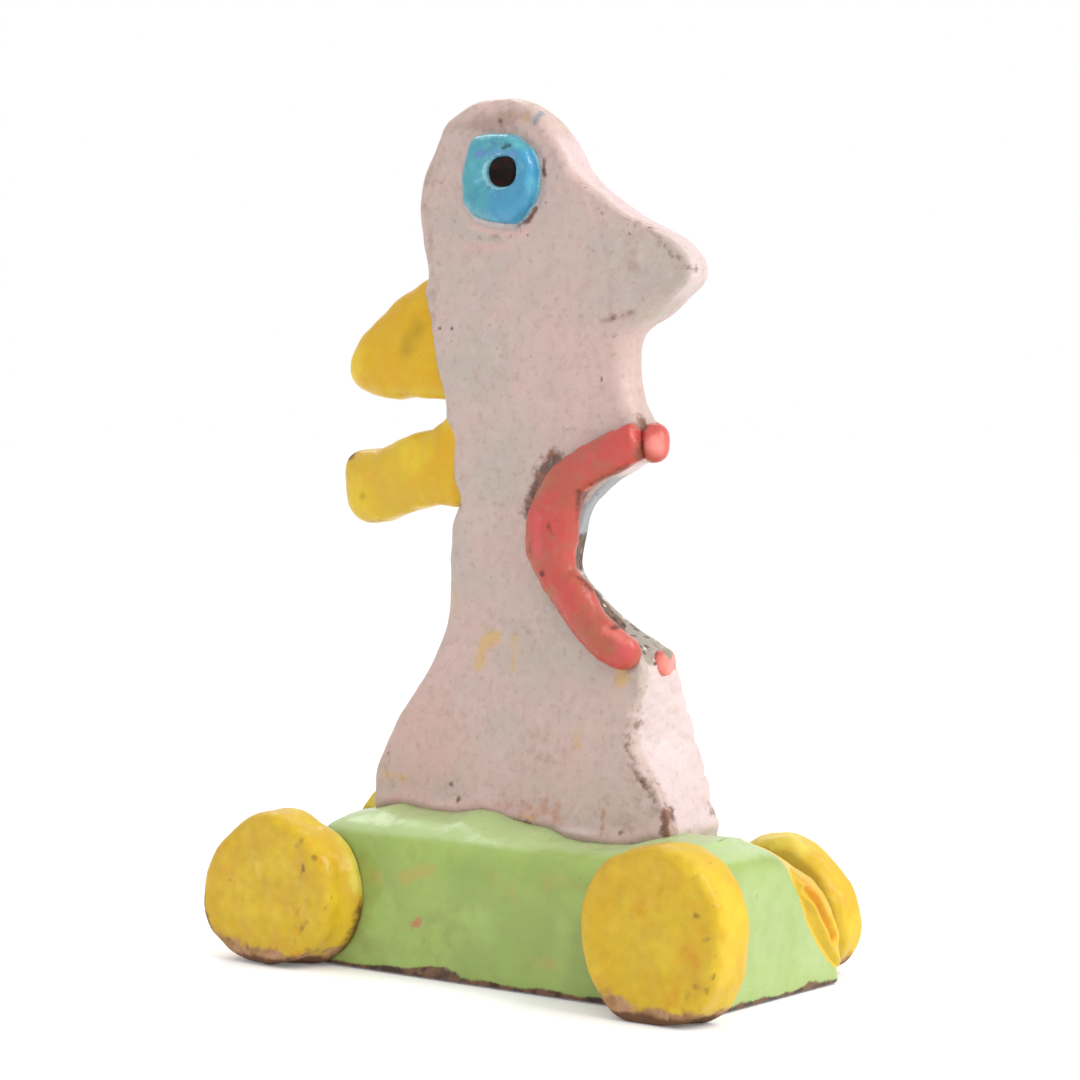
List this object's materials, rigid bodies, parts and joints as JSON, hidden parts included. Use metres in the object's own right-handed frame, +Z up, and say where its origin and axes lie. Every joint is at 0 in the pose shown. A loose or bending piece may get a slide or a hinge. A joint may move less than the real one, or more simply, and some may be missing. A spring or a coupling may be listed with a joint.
{
  "type": "profile figure on wheels",
  "caption": "Hand-built glazed stoneware figure: a flat head in profile with an open mouth, rising from a block on fixed disc wheels.",
  "frame": {"origin": "centre of the footprint, on the ground, under the block", "axes": "+Z up, the nose points to +X, the side shown in the picture is -Y"},
  "size_m": [0.1583, 0.0786, 0.201],
  "materials": {
    "pink_glaze": "pinkish white glaze, satin, with iron specks and pits",
    "blue_glaze": "glossy sky blue glaze",
    "black_glaze": "glossy black glaze",
    "red_glaze": "coral red glaze, glossy, thin on the ridges",
    "yellow_glaze": "glossy yellow glaze, bare clay at the foot of the wheels",
    "green_glaze": "glossy pale green glaze"
  },
  "bodies": {
    "root": {"head_slab": "pink_glaze", "eye_ring_near": "blue_glaze", "pupil_near": "black_glaze", "lip_near": "red_glaze", "eye_ring_far": "blue_glaze", "pupil_far": "black_glaze", "lip_far": "red_glaze", "hair_upper": "yellow_glaze", "hair_lower": "yellow_glaze", "base_block": "green_glaze", "wheel_front_near": "yellow_glaze", "wheel_rear_near": "yellow_glaze", "wheel_front_far": "yellow_glaze", "wheel_rear_far": "yellow_glaze"}
  },
  "joints": []
}
